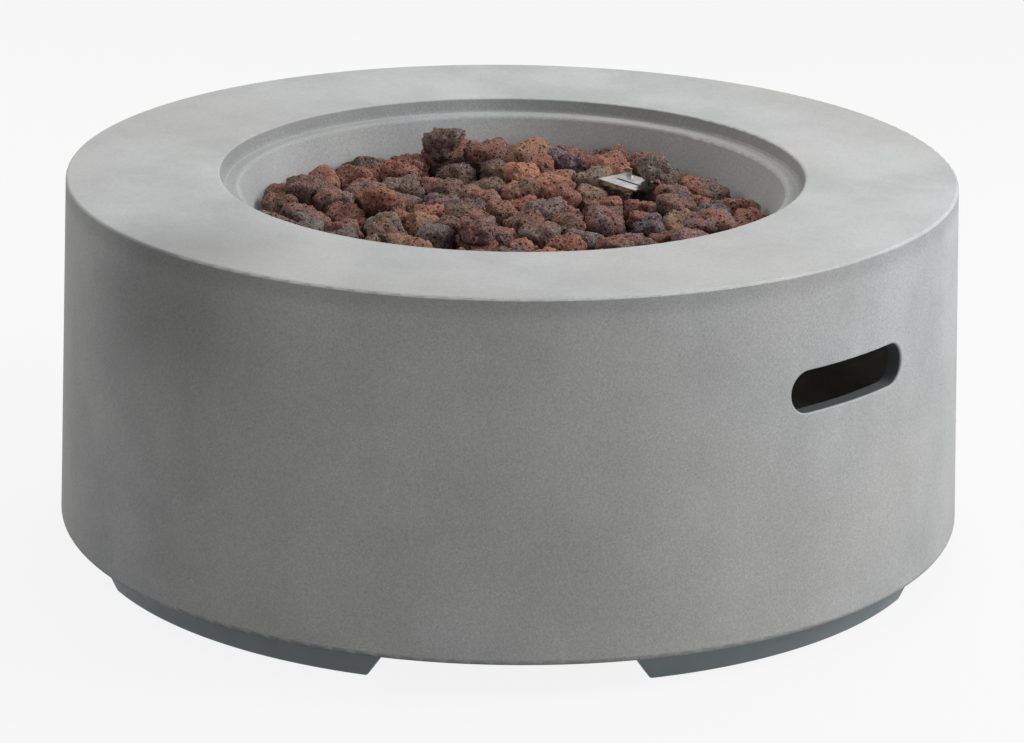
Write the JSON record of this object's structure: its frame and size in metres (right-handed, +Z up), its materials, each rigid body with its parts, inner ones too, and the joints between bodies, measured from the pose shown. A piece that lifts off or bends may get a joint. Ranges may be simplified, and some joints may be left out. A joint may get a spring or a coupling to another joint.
{
  "type": "fire pit table",
  "caption": "Low round cast-concrete gas fire pit table with a stepped fire bowl of lava rock, hand-hold slots, arc-shaped feet and a recessed control panel.",
  "frame": {"origin": "centre of the base on the floor", "axes": "+Z up, hand-holds on +X and -X, control panel on +Y"},
  "size_m": [0.9022, 0.902, 0.377],
  "materials": {
    "concrete": "cast fibre concrete, matte with fine speckle",
    "foot_plastic": "satin dark grey moulded",
    "zinc_steel": "zinc plated",
    "panel_steel": "brushed stainless",
    "burner_steel": "stainless, slightly heat-toned",
    "brass": "machined brass",
    "tube_aluminium": "drawn tube",
    "knob_plastic": "satin black",
    "spring_steel": "spring wire",
    "ceramic": "glazed white",
    "lead_rubber": "silicone rubber",
    "copper": "copper capillary",
    "lava": "porous red-brown lava rock"
  },
  "bodies": {
    "root": {"burner": "burner_steel", "burner_inlet": "burner_steel", "burner_nut": "zinc_steel", "burner_riser": "burner_steel", "burner_washer": "zinc_steel", "button_spring": "spring_steel", "clip_screws": "zinc_steel", "control_panel": "panel_steel", "electrode_ceramic": "ceramic", "electrode_rod": "spring_steel", "floor_grommet": "lead_rubber", "foot_1": "foot_plastic", "foot_2": "foot_plastic", "foot_3": "foot_plastic", "foot_4": "foot_plastic", "foot_screws": "zinc_steel", "gas_tube": "tube_aluminium", "hood_screws": "zinc_steel", "igniter_barrel": "knob_plastic", "igniter_lead": "lead_rubber", "igniter_nut": "zinc_steel", "inlet_fitting": "brass", "knob_bezel": "panel_steel", "lava_rocks": "lava", "lead_boot": "lead_rubber", "lead_clips": "zinc_steel", "orifice_elbow": "brass", "panel_screws": "zinc_steel", "pilot_hood": "burner_steel", "shell": "concrete", "stem_spring": "spring_steel", "thermocouple": "burner_steel", "thermocouple_lead": "copper", "thermocouple_nut": "brass", "tube_nuts": "brass", "valve_body": "brass", "valve_screws": "zinc_steel"},
    "rotor": {"valve_rotor": "brass"},
    "knob": {"valve_stem": "brass", "control_knob": "knob_plastic"},
    "igniter": {"igniter_button": "knob_plastic"}
  },
  "joints": [
    {"name": "knob_turn", "type": "hinge", "parent": "root", "child": "rotor", "pos_m": [-0.042, 0.41174, 0.2], "axis": [0, 1, 0], "range_deg": [0, 180]},
    {"name": "knob_push", "type": "slide", "parent": "rotor", "child": "knob", "axis": [0, -1, 0], "range_m": [0, 0.003], "stiffness_N_per_m": 800, "springref_m": -0.002, "deforming": ["stem_spring"]},
    {"name": "igniter_push", "type": "slide", "parent": "root", "child": "igniter", "axis": [0, -1, 0], "range_m": [0, 0.005], "stiffness_N_per_m": 900, "springref_m": -0.002, "deforming": ["button_spring"]}
  ]
}
